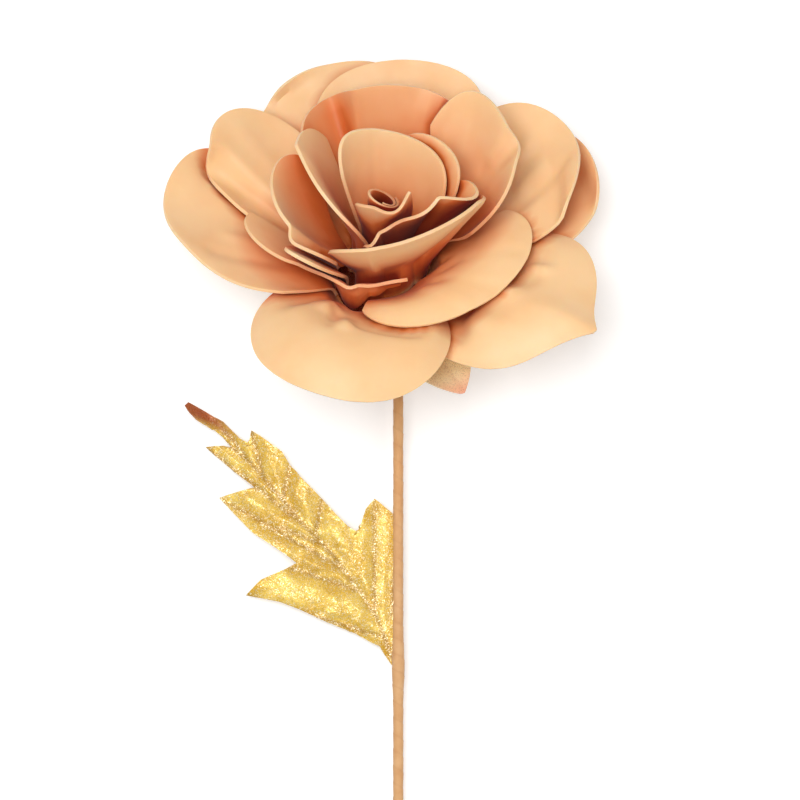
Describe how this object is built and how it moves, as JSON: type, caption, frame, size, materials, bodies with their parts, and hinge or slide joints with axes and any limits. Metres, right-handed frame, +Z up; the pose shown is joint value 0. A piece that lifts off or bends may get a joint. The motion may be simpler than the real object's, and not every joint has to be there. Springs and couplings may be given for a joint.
{
  "type": "artificial foam rose stem",
  "caption": "Large open artificial rose of layered foam petals on a paper-taped wire stem, with a glittered calyx and a lobed leaf, lying face up.",
  "frame": {"origin": "middle of the cut face of the stem's wire", "axes": "+Y up the stem to the bloom, +Z up from the table it lies on, +X to the right seen from above with the bloom at the top"},
  "size_m": [0.2542, 0.6118, 0.112],
  "materials": {
    "petal_foam": "smooth matte heat-formed foam sheet",
    "core_foam": "matte foam plug",
    "sepal_cloth": "glittered cloth, gold to pink",
    "leaf_cloth": "glittered gold cloth",
    "paper_tape": "matte wound paper tape",
    "steel_wire": "plain drawn wire"
  },
  "bodies": {
    "root": {"bud_wrap": "petal_foam", "bud_back_petal": "petal_foam", "bud_back_petal_right": "petal_foam", "inner_left_pointed_petal": "petal_foam", "inner_wrap_petal": "petal_foam", "inner_front_petal": "petal_foam", "inner_left_petal": "petal_foam", "middle_back_petal": "petal_foam", "middle_right_petal": "petal_foam", "middle_tab_petal": "petal_foam", "middle_left_petal": "petal_foam", "middle_upper_left_petal": "petal_foam", "middle_lower_right_petal": "petal_foam", "outer_top_petal": "petal_foam", "outer_right_petal": "petal_foam", "outer_left_petal": "petal_foam", "outer_top_left_petal": "petal_foam", "outer_right_back_petal": "petal_foam", "outer_bottom_petal": "petal_foam", "outer_corner_petal": "petal_foam", "centre_roll": "petal_foam", "bud_core": "core_foam", "calyx": "sepal_cloth", "stem_wire": "steel_wire", "stem_tape": "paper_tape", "leaf": "leaf_cloth", "leaf_wire": "steel_wire"}
  },
  "joints": []
}
